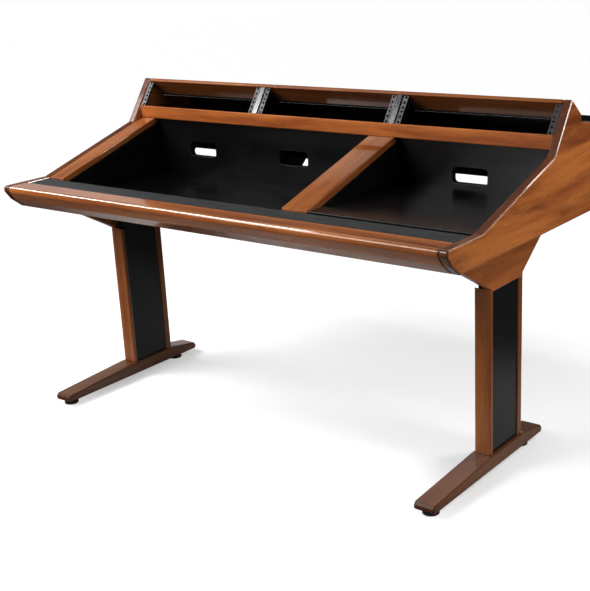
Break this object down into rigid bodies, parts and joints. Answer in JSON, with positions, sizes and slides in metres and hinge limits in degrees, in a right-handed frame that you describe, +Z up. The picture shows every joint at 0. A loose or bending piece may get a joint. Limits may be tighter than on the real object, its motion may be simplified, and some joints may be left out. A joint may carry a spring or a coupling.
{
  "type": "studio desk",
  "caption": "Wide wood-trimmed desk with a sunken console well, a flat computer bay, a raked row of rack bays and T-shaped pedestals on screw levellers.",
  "frame": {"origin": "on the floor, under the middle of the desk's width and depth", "axes": "+X to the user's right, +Y from the user's edge to the back, +Z up"},
  "size_m": [1.552, 0.83, 0.9564],
  "materials": {
    "veneer": "satin lacquered wood veneer with a fine straight grain, rounded edges",
    "armrest_leather": "black grained leather-look covering, low sheen",
    "black_board": "matt black laminated board",
    "bare_board": "unfinished board, hidden",
    "black_steel": "black powder coat",
    "zinc_steel": "bright zinc plate",
    "black_plastic": "moulded black plastic"
  },
  "bodies": {
    "desk": {"left_cheek": "veneer", "right_cheek": "veneer", "front_rail": "veneer", "well_left_trim": "veneer", "divider_trim": "veneer", "fascia": "veneer", "rack_top": "veneer", "armrest": "armrest_leather", "base_panel": "black_board", "well_front_wall": "black_board", "well_left_wall": "black_board", "divider_left_wall": "black_board", "divider_right_wall": "black_board", "laptop_bed": "black_board", "bridge_wall": "black_board", "rack_divider_left": "black_board", "rack_divider_right": "black_board", "rear_deck": "black_board", "rear_panel": "black_board", "armrest_cleat": "bare_board", "bed_cleat_left": "bare_board", "bed_cleat_right": "bare_board", "rack_rail_1_left": "black_steel", "rack_rail_1_right": "black_steel", "rack_rail_2_left": "black_steel", "rack_rail_2_right": "black_steel", "rack_rail_3_left": "black_steel", "rack_rail_3_right": "black_steel", "left_front_post": "veneer", "left_rear_post": "veneer", "left_bracket": "veneer", "left_foot": "veneer", "left_core": "black_board", "left_mount_plate": "black_steel", "left_front_leveller_insert": "zinc_steel", "left_rear_leveller_insert": "zinc_steel", "right_front_post": "veneer", "right_rear_post": "veneer", "right_bracket": "veneer", "right_foot": "veneer", "right_core": "black_board", "right_mount_plate": "black_steel", "right_front_leveller_insert": "zinc_steel", "right_rear_leveller_insert": "zinc_steel"},
    "left_front_leveller_stem": {"left_front_leveller_stem": "zinc_steel"},
    "left_front_leveller_pad": {"left_front_leveller_pad": "black_plastic"},
    "left_rear_leveller_stem": {"left_rear_leveller_stem": "zinc_steel"},
    "left_rear_leveller_pad": {"left_rear_leveller_pad": "black_plastic"},
    "right_front_leveller_stem": {"right_front_leveller_stem": "zinc_steel"},
    "right_front_leveller_pad": {"right_front_leveller_pad": "black_plastic"},
    "right_rear_leveller_stem": {"right_rear_leveller_stem": "zinc_steel"},
    "right_rear_leveller_pad": {"right_rear_leveller_pad": "black_plastic"}
  },
  "joints": [
    {"name": "left_front_leveller_height", "type": "slide", "parent": "desk", "child": "left_front_leveller_stem", "axis": [0, 0, -1], "range_m": [0, 0.008]},
    {"name": "left_front_leveller_swivel", "type": "hinge", "parent": "left_front_leveller_stem", "child": "left_front_leveller_pad", "pos_m": [-0.673, -0.33896, 0.009], "axis": [0, 0, -1], "continuous": true},
    {"name": "left_rear_leveller_height", "type": "slide", "parent": "desk", "child": "left_rear_leveller_stem", "axis": [0, 0, -1], "range_m": [0, 0.008]},
    {"name": "left_rear_leveller_swivel", "type": "hinge", "parent": "left_rear_leveller_stem", "child": "left_rear_leveller_pad", "pos_m": [-0.673, 0.13304, 0.009], "axis": [0, 0, -1], "continuous": true},
    {"name": "right_front_leveller_height", "type": "slide", "parent": "desk", "child": "right_front_leveller_stem", "axis": [0, 0, -1], "range_m": [0, 0.008]},
    {"name": "right_front_leveller_swivel", "type": "hinge", "parent": "right_front_leveller_stem", "child": "right_front_leveller_pad", "pos_m": [0.673, -0.33896, 0.009], "axis": [0, 0, -1], "continuous": true},
    {"name": "right_rear_leveller_height", "type": "slide", "parent": "desk", "child": "right_rear_leveller_stem", "axis": [0, 0, -1], "range_m": [0, 0.008]},
    {"name": "right_rear_leveller_swivel", "type": "hinge", "parent": "right_rear_leveller_stem", "child": "right_rear_leveller_pad", "pos_m": [0.673, 0.13304, 0.009], "axis": [0, 0, -1], "continuous": true}
  ]
}
